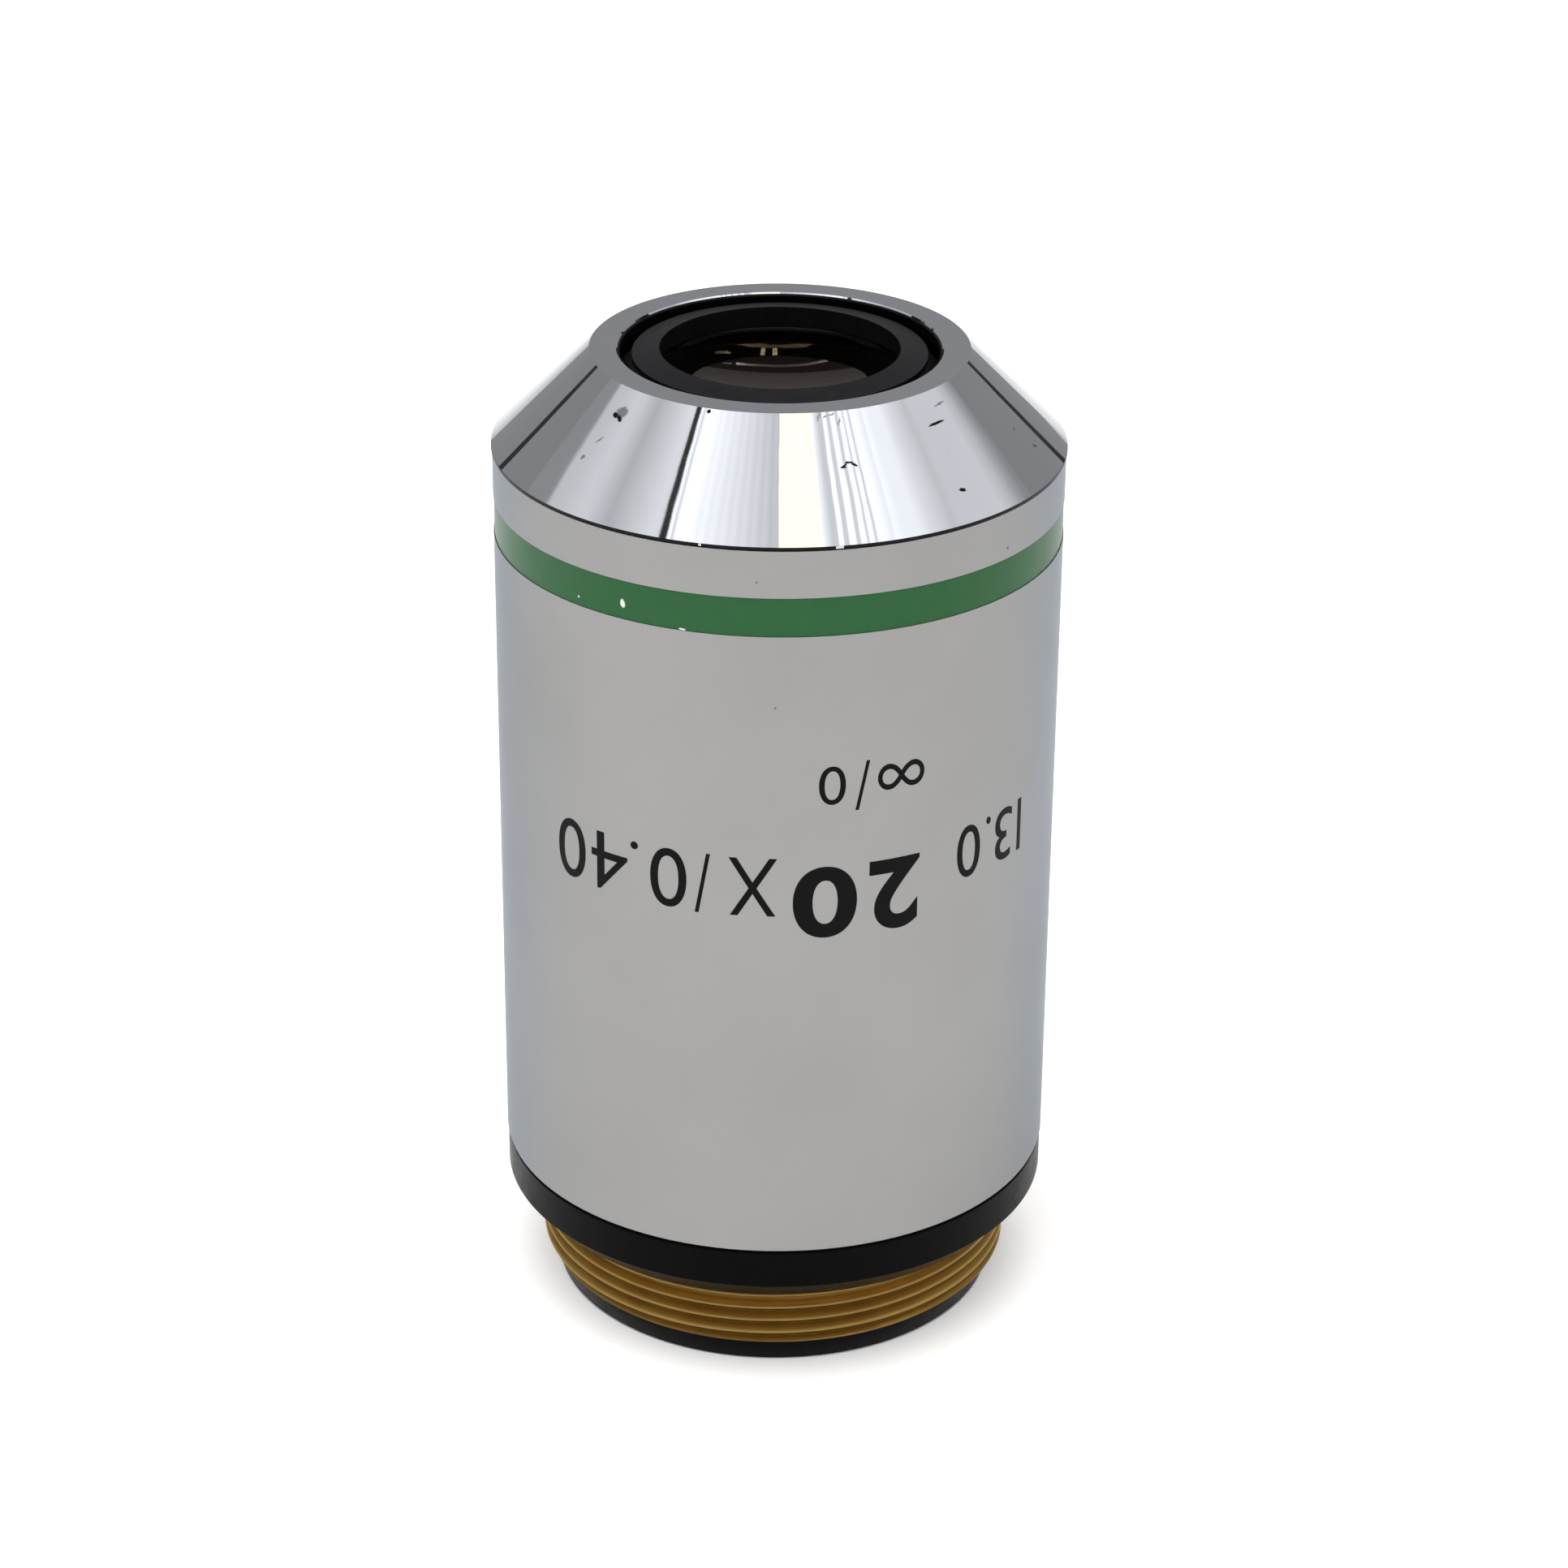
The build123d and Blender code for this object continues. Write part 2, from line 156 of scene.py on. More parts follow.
def turning_lines(tree, place, spacing):
    """Fine rings that a lathe tool leaves, this far apart, each changing slowly round the axis."""
    stretched = add(tree, "Mapping", {"Vector": place, "Scale": (0.06, 0.06, 1 / spacing)})
    return add(tree, "TexNoise", {"Vector": stretched, "Scale": 1.0, "Detail": 3.0, "Roughness": 0.6})


# Wear on the cone: azimuth, height, lean of the face, half length, half width, and the mark's tilt
CONE_SLOPE = 44.6
DENTS = [
    (-48.4, 45.93, CONE_SLOPE, 0.20, 0.13, -12),
    (-46.6, 45.88, CONE_SLOPE, 0.24, 0.12, -30),
    (15.5, 44.99, CONE_SLOPE, 0.20, 0.055, 32),
    (16.9, 45.10, CONE_SLOPE, 0.20, 0.05, 0),
    (18.1, 45.00, CONE_SLOPE, 0.17, 0.06, -38),
    (15.4, 44.93, CONE_SLOPE, 0.14, 0.04, 4),
    (45.1, 45.84, CONE_SLOPE, 0.55, 0.07, 2),
    (41.8, 43.32, CONE_SLOPE, 0.20, 0.09, -10),
    (-20.6, 46.9, CONE_SLOPE, 0.10, 0.10, 0),
]
SCUFFS = [
    (-46.9, 46.10, CONE_SLOPE, 0.36, 0.34, 20),
    (49.9, 46.44, CONE_SLOPE, 0.44, 0.05, 6),
    (-48.1, 44.95, CONE_SLOPE, 0.28, 0.05, 50),
    (-49.8, 44.13, CONE_SLOPE, 0.18, 0.09, 60),
    (72.3, 43.36, CONE_SLOPE, 0.20, 0.10, -15),
    (70.0, 44.3, CONE_SLOPE, 0.12, 0.07, -15),
    (10.9, 46.82, CONE_SLOPE, 0.30, 0.05, 60),
    (14.2, 46.86, CONE_SLOPE, 0.34, 0.05, 20),
    (16.6, 46.62, CONE_SLOPE, 0.26, 0.05, 70),
]
# Bright burrs along the cone's foot, where it has been knocked: azimuth, and half width in degrees
BURRS = [(-19.8, 1.0), (-14.7, 0.9), (11.2, 1.5), (-55.0, 0.3)]
JOINT_GRIME_AND_SHADE = 0.01             # how far the painted shade, with some grime, reaches up from the joint, and how far the painted shade reaches out from the bore
BORE_SHADE = 0.08
CHIPS = [(-31.3, 38.30, 0, 0.15, 0.24, 10), (-42.2, 37.95, 0, 0.07, 0.07, 0), (-18.6, 37.56, 0, 0.20, 0.06, 0)]
SPECKS = [(50.5, 40.03, 0, 0.10, 0.09, 0), (-0.4, 33.8, 0, 0.06, 0.06, 0), (-4.1, 40.3, 0, 0.06, 0.06, 0)]


def polished_plate(tree, place):
    lines = turning_lines(tree, place, 0.11)
    smears = add(tree, "TexNoise", {"Vector": place, "Scale": 0.35, "Detail": 4.0})
    dents = worn_spots(tree, place, DENTS, 0.05)
    scuffs = worn_spots(tree, place, SCUFFS, 0.16)
    shine = add(tree, "MapRange", {
        "Value": smears, "From Min": 0.3, "From Max": 0.75, "To Min": 0.015, "To Max": 0.05,
    })
    scuffs = add(tree, "Math", {0: scuffs, 1: 0.55}, operation="MULTIPLY")
    # Painted shade, with some grime, darkens the joint under the cone, where the gap lies in shadow. The bore is
    # dark because its inside is blackened, and painted shade darkens the inner part of its chamfer to thin the
    # reflection there
    height = add(tree, "SeparateXYZ", {0: place}, 2)
    flat = add(tree, "VectorMath", {0: place, 1: (1, 1, 0)}, operation="MULTIPLY")
    radius = add(tree, "VectorMath", {0: flat}, "Value", operation="LENGTH")
    joint = add(tree, "Math", {0: height, 1: CONE_BASE_Z + JOINT_GRIME_AND_SHADE}, operation="LESS_THAN")
    for azimuth, half_width in BURRS:
        along = add(tree, "VectorMath", {0: place, 1: outward(azimuth)}, "Value", operation="DOT_PRODUCT")
        reach = CONE_BASE_RADIUS * math.cos(math.radians(half_width))
        away = add(tree, "Math", {0: along, 1: reach}, operation="LESS_THAN")
        joint = add(tree, "Math", {0: joint, 1: away}, operation="MULTIPLY")
    bore = add(tree, "Math", {
        0: radius, 1: NOSE_RADIUS - NOSE_FACE_WIDTH + BORE_SHADE,
    }, operation="LESS_THAN")
    grime_and_shade = add(tree, "Math", {0: joint, 1: bore}, operation="MAXIMUM")
    marks = add(tree, "Math", {0: dents, 1: scuffs}, operation="MAXIMUM")
    # From here marks also holds the painted shade of the joint and the bore
    marks = add(tree, "Math", {0: marks, 1: grime_and_shade}, operation="MAXIMUM")
    rough = add(tree, "Mix", {0: marks, 2: shine, 3: 0.42}, 0)
    plate = add(tree, "Mix", {0: smears, 6: linear("#CACCCE"), 7: linear("#C4C6C9")}, 2, data_type="RGBA")
    colour = add(tree, "Mix", {0: marks, 6: plate, 7: linear("#232224")}, 2, data_type="RGBA")
    ripple = add(tree, "Bump", {"Height": lines, "Strength": 1.0, "Distance": 0.00022 * MM})
    pit = add(tree, "Bump", {
        "Height": dents, "Strength": 1.0, "Distance": 0.02 * MM, "Normal": ripple,
    }, invert=True)
    return {"Base Color": colour, "Roughness": rough, "Normal": pit}


def satin_plate(tree, place):
    grit = add(tree, "TexNoise", {"Vector": place, "Scale": 7.0, "Detail": 2.0, "Roughness": 0.7})
    clouds = add(tree, "TexNoise", {"Vector": place, "Scale": 0.12, "Detail": 3.0})
    specks = worn_spots(tree, place, SPECKS, 0.02)
    shine = add(tree, "MapRange", {
        "Value": clouds, "From Min": 0.3, "From Max": 0.7, "To Min": 0.30, "To Max": 0.36,
    })
    plate = add(tree, "Mix", {0: clouds, 6: linear("#9B9A98"), 7: linear("#959492")}, 2, data_type="RGBA")
    colour = add(tree, "Mix", {0: specks, 6: plate, 7: linear("#6A6A6C")}, 2, data_type="RGBA")
    grain = add(tree, "Bump", {"Height": grit, "Strength": 1.0, "Distance": 0.0012 * MM})
    return {"Base Color": colour, "Roughness": shine, "Normal": grain}


def stoved_enamel(tree, place):
    flow = add(tree, "TexNoise", {"Vector": place, "Scale": 1.1, "Detail": 2.0})
    chips = worn_spots(tree, place, CHIPS, 0.03)
    green = add(tree, "Mix", {0: flow, 6: linear("#1F552C"), 7: linear("#225B31")}, 2, data_type="RGBA")
    colour = add(tree, "Mix", {0: chips, 6: green, 7: linear("#DFE3DC")}, 2, data_type="RGBA")
    skin = add(tree, "Bump", {"Height": flow, "Strength": 1.0, "Distance": 0.004 * MM})
    edge = add(tree, "Bump", {
        "Height": chips, "Strength": 1.0, "Distance": 0.05 * MM, "Normal": skin,
    }, invert=True)
    return {"Base Color": colour, "Normal": edge}


def blackened(tree, place):
    height = add(tree, "SeparateXYZ", {0: place}, 2)
    mottle = add(tree, "TexNoise", {"Vector": place, "Scale": 1.3, "Detail": 5.0, "Roughness": 0.65})
    fine = add(tree, "TexNoise", {"Vector": place, "Scale": 2.2, "Detail": 6.0, "Roughness": 0.7})
    black = add(tree, "MapRange", {"Value": mottle, "From Min": 0.35, "From Max": 0.75})
    coat = add(tree, "Mix", {0: black, 6: linear("#010101"), 7: linear("#050404")}, 2, data_type="RGBA")
    # The colour is browner on the mounting ring's chamfer, and the coat is rubbed off in places along its edge
    chamfer = add(tree, "MapRange", {
        "Value": height, "From Min": RING_CHAMFER + 0.1, "From Max": RING_CHAMFER - 0.1,
    })
    above = add(tree, "Math", {0: height, 1: -0.05}, operation="GREATER_THAN")
    chamfer = add(tree, "Math", {0: chamfer, 1: above}, operation="MULTIPLY")
    browner = add(tree, "Mix", {0: black, 6: linear("#040201"), 7: linear("#1A1206")}, 2, data_type="RGBA")
    coat = add(tree, "Mix", {0: chamfer, 6: coat, 7: browner}, 2, data_type="RGBA")
    low = add(tree, "MapRange", {
        "Value": height, "From Min": 0.0, "From Max": 1.2, "To Min": 0.62, "To Max": 0.78,
    })
    rubbed = add(tree, "Math", {0: fine, 1: low}, operation="SUBTRACT")
    rubbed = add(tree, "MapRange", {"Value": rubbed, "From Min": -0.02, "From Max": 0.05})
    rubbed = add(tree, "Math", {0: rubbed, 1: above}, operation="MULTIPLY")
    colour = add(tree, "Mix", {0: rubbed, 6: coat, 7: linear("#8C7044")}, 2, data_type="RGBA")
    rough = add(tree, "MapRange", {
        "Value": mottle, "From Min": 0.3, "From Max": 0.7, "To Min": 0.26, "To Max": 0.38,
    })
    skin = add(tree, "Bump", {"Height": fine, "Strength": 1.0, "Distance": 0.004 * MM})
    return {"Base Color": colour, "Metallic": rubbed, "Roughness": rough, "Normal": skin}


def turned_thread(tree, place):
    flat = add(tree, "VectorMath", {0: place, 1: (1, 1, 0)}, operation="MULTIPLY")
    radius = add(tree, "VectorMath", {0: flat}, "Value", operation="LENGTH")
    depth = add(tree, "MapRange", {"Value": radius, "From Min": ROOT_RADIUS, "From Max": THREAD_RADIUS})
    patches = add(tree, "TexNoise", {"Vector": place, "Scale": 0.5, "Detail": 4.0})
    lines = turning_lines(tree, place, 0.05)
    tarnish = add(tree, "Mix", {
        0: patches, 6: linear("#7E6226"), 7: linear("#644818"),
    }, 2, data_type="RGBA")
    clean = add(tree, "Mix", {0: patches, 6: linear("#D2B068"), 7: linear("#BE9A54")}, 2, data_type="RGBA")
    height = add(tree, "SeparateXYZ", {0: place}, 2)
    # Painted light: the turns nearest the ring get the clean colour in their roots too, which lifts them against
    # the shade under the ring
    painted_light_near_ring = add(tree, "MapRange", {
        "Value": height, "From Min": -1.25, "From Max": -0.8, "To Min": 0.0, "To Max": 0.9,
    })
    bare = add(tree, "Math", {0: depth, 1: painted_light_near_ring}, operation="MAXIMUM")
    colour = add(tree, "Mix", {0: bare, 6: tarnish, 7: clean}, 2, data_type="RGBA")
    rough = add(tree, "MapRange", {"Value": patches, "To Min": 0.40, "To Max": 0.56})
    drag = add(tree, "Bump", {"Height": lines, "Strength": 1.0, "Distance": 0.002 * MM})
    return {"Base Color": colour, "Roughness": rough, "Normal": drag}


def dull_black(tree, place):
    lines = turning_lines(tree, place, 0.12)
    dust = add(tree, "TexNoise", {"Vector": place, "Scale": 3.0, "Detail": 4.0})
    colour = add(tree, "Mix", {0: dust, 6: linear("#0B0B0C"), 7: linear("#161617")}, 2, data_type="RGBA")
    rough = add(tree, "MapRange", {"Value": dust, "To Min": 0.42, "To Max": 0.58})
    rings = add(tree, "Bump", {"Height": lines, "Strength": 1.0, "Distance": 0.004 * MM})
    return {"Base Color": colour, "Roughness": rough, "Normal": rings}


def faced_black(tree, place):
    flat = add(tree, "VectorMath", {0: place, 1: (1, 1, 0)}, operation="MULTIPLY")
    radius = add(tree, "VectorMath", {0: flat}, "Value", operation="LENGTH")
    rings = add(tree, "TexNoise", {"W": radius, "Scale": 6.0, "Detail": 3.0}, noise_dimensions="1D")
    dust = add(tree, "TexNoise", {"Vector": place, "Scale": 2.0, "Detail": 5.0})
    colour = add(tree, "Mix", {0: dust, 6: linear("#0E0D0F"), 7: linear("#1A191B")}, 2, data_type="RGBA")
    rough = add(tree, "MapRange", {"Value": dust, "To Min": 0.38, "To Max": 0.52})
    cut = add(tree, "Bump", {"Height": rings, "Strength": 1.0, "Distance": 0.006 * MM})
    return {"Base Color": colour, "Roughness": rough, "Normal": cut}


def ground_steel(tree, place):
    lines = turning_lines(tree, place, 0.08)
    colour = add(tree, "Mix", {0: lines, 6: linear("#4A4C50"), 7: linear("#63656A")}, 2, data_type="RGBA")
    rough = add(tree, "MapRange", {"Value": lines, "To Min": 0.28, "To Max": 0.4})
    return {"Base Color": colour, "Roughness": rough}


def clear_glass(tree, place):
    smears = add(tree, "TexNoise", {"Vector": place, "Scale": 0.5, "Detail": 4.0})
    tint = add(tree, "Mix", {0: smears, 6: linear("#FBFAF4"), 7: linear("#F4F3EC")}, 2, data_type="RGBA")
    haze = add(tree, "MapRange", {
        "Value": smears, "From Min": 0.5, "From Max": 0.8, "To Min": 0.0, "To Max": 0.02,
    })
    return {"Base Color": tint, "Roughness": haze}


def screen_ink(tree, place):
    film = add(tree, "TexNoise", {"Vector": place, "Scale": 5.0, "Detail": 3.0})
    colour = add(tree, "Mix", {0: film, 6: linear("#030303"), 7: linear("#080808")}, 2, data_type="RGBA")
    skin = add(tree, "Bump", {"Height": film, "Strength": 1.0, "Distance": 0.003 * MM})
    return {"Base Color": colour, "Normal": skin}


# Chromium plate over turned and polished brass: near mirror, with the lathe's rings just showing
polished_chrome = material("polished_chrome", polished_plate, Metallic=1.0)
# Chromium plate over bead-blasted brass: pale grey, and its highlights spread softly
satin_chrome = material("satin_chrome", satin_plate, Metallic=1.0, Specular_Tint=linear("#D2D9E4"))
# Stoved enamel flowed into a groove: even green with a soft gloss, chipped to the metal in places
green_enamel = material("green_enamel", stoved_enamel, Roughness=0.32, IOR=1.5, Specular_IOR_Level=0.22)
# Brass blackened in a bath: uneven near-black with little gloss, rubbed to brass along its edge
blackened_brass = material("blackened_brass", blackened, IOR=1.5, Specular_IOR_Level=0.05)
# Brass left bare where the thread is cut: golden on the crests, brown with tarnish in the roots, and painted light
# on the turns nearest the ring
thread_brass = material("thread_brass", turned_thread, Metallic=1.0)
# Black anodised aluminium, turned: dull black that hardly reflects inside the barrel
anodised_aluminium = material("anodised_aluminium", dull_black, Specular_IOR_Level=0.3)
# The front cell's face is anodised over a facing cut: charcoal, with fine rings round the lens
faced_aluminium = material("faced_aluminium", faced_black, Specular_IOR_Level=0.22)
# Hardened steel set screws, ground
set_screw_steel = material("set_screw_steel", ground_steel, Metallic=1.0)
# Crown and flint glass, polished, with a single coating that leaves a faint brown-violet reflection
crown_glass = material(
    "crown_glass", clear_glass, IOR=1.52, Transmission_Weight=1.0, Thin_Film_Thickness=105.0, Thin_Film_IOR=1.38
)
flint_glass = material(
    "flint_glass", clear_glass, IOR=1.62, Transmission_Weight=1.0, Thin_Film_Thickness=105.0, Thin_Film_IOR=1.38
)
# Black ink screened on the chrome: a flat matt film with sharp edges
printing_ink = material("printing_ink", screen_ink, Roughness=0.5, Specular_IOR_Level=0.1)

FINISHES = {
    "outer_sleeve": satin_chrome,
    "nose_cone": polished_chrome,
    "colour_band": green_enamel,
    "front_cell": faced_aluminium,
    "centring_screws": set_screw_steel,
}
for name, node in nodes.items():
    finish = FINISHES.get(name, anodised_aluminium)
    if name.endswith("flint_lens") or name == "front_lens":
        finish = flint_glass
    elif name.endswith("lens"):
        finish = crown_glass
    node.data.materials.clear()
    node.data.materials.append(finish)


def piece(name, mesh, finishes, crease=30):
    """A new piece of the object, smooth except where its faces meet at more than crease degrees."""
    mesh.validate()
    mesh.shade_smooth()
    mesh.set_sharp_from_angle(angle=math.radians(crease))
    for finish in finishes:
        mesh.materials.append(finish)
    made = bpy.data.objects.new(name, mesh)
    bpy.context.scene.collection.objects.link(made)
    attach(made, "root")
    return made


# One turn of the thread's outline: share of the pitch, and share of the depth, with its corners eased
THREAD_OUTLINE = [
    (0.0, 0.02), (0.08, 0.06), (0.15, 0.15), (0.22, 0.28), (0.35, 0.68), (0.40, 0.83), (0.46, 0.94),
    (0.53, 1.0), (0.60, 0.94), (0.66, 0.83), (0.71, 0.68), (0.84, 0.24), (0.92, 0.08),
]
COLUMNS = 288


def thread_radius(height, azimuth):
    """Radius of the thread's surface at this height and azimuth, in millimetres and turns."""
    turn = (height - FIRST_CREST) / PITCH - azimuth + 0.53
    share = turn - math.floor(turn)
    outline = THREAD_OUTLINE + [(1.0, 0.0)]
    for (low, low_depth), (high, high_depth) in zip(outline, outline[1:]):
        if share <= high:
            depth = low_depth + (high_depth - low_depth) * (share - low) / (high - low)
            break
    radius = ROOT_RADIUS + depth * (THREAD_RADIUS - ROOT_RADIUS)
    lead = ROOT_RADIUS + (THREAD_RADIUS - ROOT_RADIUS) * (height - THREAD_LOW) / LEAD_CHAMFER
    run_out = ROOT_RADIUS + (THREAD_RADIUS - ROOT_RADIUS) * (THREAD_TOP - height) / 0.25
    return max(ROOT_RADIUS, min(radius, lead, run_out))


def barrel_mesh():
    """Closed mesh of the black body, with a real helical thread between its pilot and its ring."""
    below = [
        (BODY_BORE + REAR_BEVEL, REAR_Z),
        (PILOT_RADIUS - PILOT_EDGE, REAR_Z),
        (PILOT_RADIUS, REAR_Z + PILOT_EDGE),
        (ROOT_RADIUS, THREAD_LOW),
    ]
    above = [
        (ROOT_RADIUS, 0.0),
        (RING_FOOT_RADIUS, 0.0),
        (RING_RADIUS, RING_CHAMFER),
        (RING_RADIUS, RING_HEIGHT - RING_TOP_CHAMFER),
        (RING_RADIUS - RING_TOP_CHAMFER, RING_HEIGHT),
        (LAND_RADIUS, RING_HEIGHT),
        (LAND_RADIUS, RING_HEIGHT + LAND_LENGTH),
        (LAND_RADIUS - RELIEF_DEPTH, RING_HEIGHT + LAND_LENGTH + RELIEF_DEPTH),
        (LAND_RADIUS - RELIEF_DEPTH, LAND_TOP - LAND_LENGTH - RELIEF_DEPTH),
        (LAND_RADIUS, LAND_TOP - LAND_LENGTH),
        (LAND_RADIUS, LAND_TOP),
        (NECK_RADIUS, LAND_TOP),
        (NECK_RADIUS, BODY_TOP),
        (BODY_BORE, BODY_TOP),
        (BODY_BORE, REAR_Z + REAR_BEVEL),
    ]
    first = math.floor((THREAD_LOW - FIRST_CREST) / PITCH) - 2
    last = math.ceil((THREAD_TOP - FIRST_CREST) / PITCH) + 1
    rows = [k + share for k in range(first, last + 1) for share, _ in THREAD_OUTLINE]
    made = bmesh.new()
    columns = []
    for column in range(COLUMNS + 1):
        azimuth = column / COLUMNS
        outline = list(below)
        for row in rows:
            height = FIRST_CREST + (row + azimuth - 0.53) * PITCH
            height = min(max(height, THREAD_LOW), THREAD_TOP)
            outline.append((thread_radius(height, azimuth), height))
        outline += above
        a = 2 * math.pi * azimuth
        columns.append([
            made.verts.new((r * math.sin(a) * MM, -r * math.cos(a) * MM, z * MM)) for r, z in outline
        ])
    count = len(columns[0])
    for left, right in zip(columns, columns[1:]):
        for k in range(count):
            face = made.faces.new((left[k], right[k], right[(k + 1) % count], left[(k + 1) % count]))
            bare = len(below) - 1 <= k < len(below) + len(rows)
            face.material_index = 1 if bare else 0
    bmesh.ops.remove_doubles(made, verts=made.verts, dist=0.0005 * MM)
    bmesh.ops.dissolve_degenerate(made, edges=made.edges, dist=0.0005 * MM)
    bmesh.ops.recalc_face_normals(made, faces=made.faces)
    mesh = bpy.data.meshes.new("barrel_body_threaded")
    made.to_mesh(mesh)
    made.free()
    return mesh


barrel = piece("barrel_body_threaded", barrel_mesh(), [blackened_brass, thread_brass])
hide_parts("barrel_body")

# Printed figures: the sign, its right and left azimuth, the height of its foot and of its head, and
# how much its strokes are thickened. They read with the nose down, as the objective is used.
FIGURES = [
    ("2", 29.4, 18.6, 25.2, 21.3, 0.026),
    ("0", 16.1, 3.3, 25.2, 21.3, 0.026),
    ("X", 0.2, -9.3, 25.7, 22.55, -0.002),
    ("/", -13.0, -16.1, 25.75, 22.5, -0.002),
    ("0", -17.8, -25.5, 25.75, 22.55, -0.002),
    (".", -28.2, -29.9, 25.7, 25.3, -0.002),
    ("4", -30.7, -39.5, 25.7, 22.55, -0.002),
    ("0", -41.2, -48.9, 25.75, 22.55, -0.002),
    ("1", 58.6, 57.4, 25.85, 23.0, -0.002),
    ("3", 55.0, 49.5, 25.85, 23.0, -0.002),
    (".", 47.8, 46.6, 25.85, 25.45, -0.002),
    ("0", 44.8, 38.6, 25.85, 23.0, -0.002),
    ("∞", 30.0, 20.0, 30.38, 29.0, -0.004),
    ("/", 18.3, 15.5, 30.75, 28.15, -0.004),
    ("0", 13.5, 8.2, 30.6, 28.55, -0.004),
]
INK_FILM = 0.012              # thickness of the ink over the chrome
STRIP = 0.25                  # the figures are cut in strips this wide, so that they follow the round


def printed_mesh():
    made = bmesh.new()
    for sign, right, left, foot, head, weight in FIGURES:
        curve = bpy.data.curves.new("figure", "FONT")
        curve.body = sign
        curve.offset = weight
        curve.extrude = 0.5
        text = bpy.data.objects.new("figure", curve)
        bpy.context.scene.collection.objects.link(text)
        flat = bpy.data.meshes.new_from_object(text.evaluated_get(bpy.context.evaluated_depsgraph_get()))
        bpy.data.objects.remove(text)
        bpy.data.curves.remove(curve)
        part = bmesh.new()
        part.from_mesh(flat)
        bpy.data.meshes.remove(flat)
        bmesh.ops.remove_doubles(part, verts=part.verts, dist=1e-5)
        low = [min(v.co[i] for v in part.verts) for i in range(2)]
        high = [max(v.co[i] for v in part.verts) for i in range(2)]
        wide = math.radians(right - left) * SLEEVE_RADIUS
        strips = math.ceil(wide / STRIP)
        for k in range(1, strips):
            cut = (low[0] + (high[0] - low[0]) * k / strips, 0, 0)
            everything = part.verts[:] + part.edges[:] + part.faces[:]
            bmesh.ops.bisect_plane(part, geom=everything, plane_co=cut, plane_no=(1, 0, 0))
        for v in part.verts:
            across = (v.co.x - low[0]) / (high[0] - low[0])
            up = (v.co.y - low[1]) / (high[1] - low[1])
            radius = SLEEVE_RADIUS + (INK_FILM if v.co.z > 0 else -INK_FILM)
            azimuth = right - across * (right - left)
            v.co = (radius * outward(azimuth) + Vector((0, 0, foot - up * (foot - head)))) * MM
        shape = bpy.data.meshes.new("figure")
        part.to_mesh(shape)
        part.free()
        made.from_mesh(shape)
        bpy.data.meshes.remove(shape)
    bmesh.ops.recalc_face_normals(made, faces=made.faces)
    mesh = bpy.data.meshes.new("printed_figures")
    made.to_mesh(mesh)
    made.free()
    return mesh


piece("printed_figures", printed_mesh(), [printing_ink])


# Studio: a pale table, a soft lamp above, and cards that only the metal and the glass reflect
def stage_card(name, corners, strengths, finish, height, faces=None, spread=1):
    """A card of the studio, each corner of it with its own strength. spread moves it out from the nose."""
    mesh = bpy.data.meshes.new(name)
    places = [Vector(c if height is None else (*c, height)) for c in corners]
    if spread > 1:
        places = [p * spread + Vector((0, 0, NOSE_FOOT_Z)) for p in places]
    mesh.from_pydata([p * MM for p in places], [], faces or [range(len(corners))])
    strength = mesh.attributes.new("strength", "FLOAT", "POINT")
    strength.data.foreach_set("value", strengths)
    mesh.materials.append(finish)
    card = bpy.data.objects.new(name, mesh)
    bpy.context.scene.collection.objects.link(card)
    return card


def only_reflected(card):
    card.visible_camera = False
    card.visible_diffuse = False
    card.visible_transmission = False
    card.visible_volume_scatter = False
    card.visible_shadow = False


def glow(name, shade):
    made = bpy.data.materials.new(name)
    made.use_nodes = True
    tree = made.node_tree
    tree.nodes.clear()
    strength = add(tree, "Attribute", {}, "Fac", attribute_name="strength")
    light = add(tree, "Emission", {"Color": linear(shade), "Strength": strength})
    add(tree, "OutputMaterial", {"Surface": light})
    return made


def shown_white(tree):
    """1 for what the camera, a mirror or a lens sees, and 0 for the light that falls on the object."""
    seen = add(tree, "LightPath", {}, "Is Camera Ray")
    for ray in ("Is Glossy Ray", "Is Transmission Ray"):
        seen = add(tree, "Math", {0: seen, 1: add(tree, "LightPath", {}, ray)}, operation="MAXIMUM")
    return seen


TABLE_COLOUR = "#F0F0F0"
TABLE_LIFT = 0.25             # how far the table is lifted to white where the camera sees it
ROOM_LIGHT = 0.8

world = bpy.data.worlds.new("room")
bpy.context.scene.world = world
world.use_nodes = True
tree = world.node_tree
tree.nodes.clear()
strength = add(tree, "MapRange", {"Value": shown_white(tree), "To Min": ROOM_LIGHT, "To Max": 1.0})
background = add(tree, "Background", {"Color": (1.0, 1.0, 1.0, 1.0), "Strength": strength})
add(tree, "OutputWorld", {"Surface": background})

paper = bpy.data.materials.new("table_paper")
paper.use_nodes = True
tree = paper.node_tree
tree.nodes.clear()
metres = add(tree, "TexCoord", {}, "Object")
flat = add(tree, "VectorMath", {0: metres, 1: (1, 1, 0)}, operation="MULTIPLY")
from_axis = add(tree, "VectorMath", {0: flat}, "Value", operation="LENGTH")
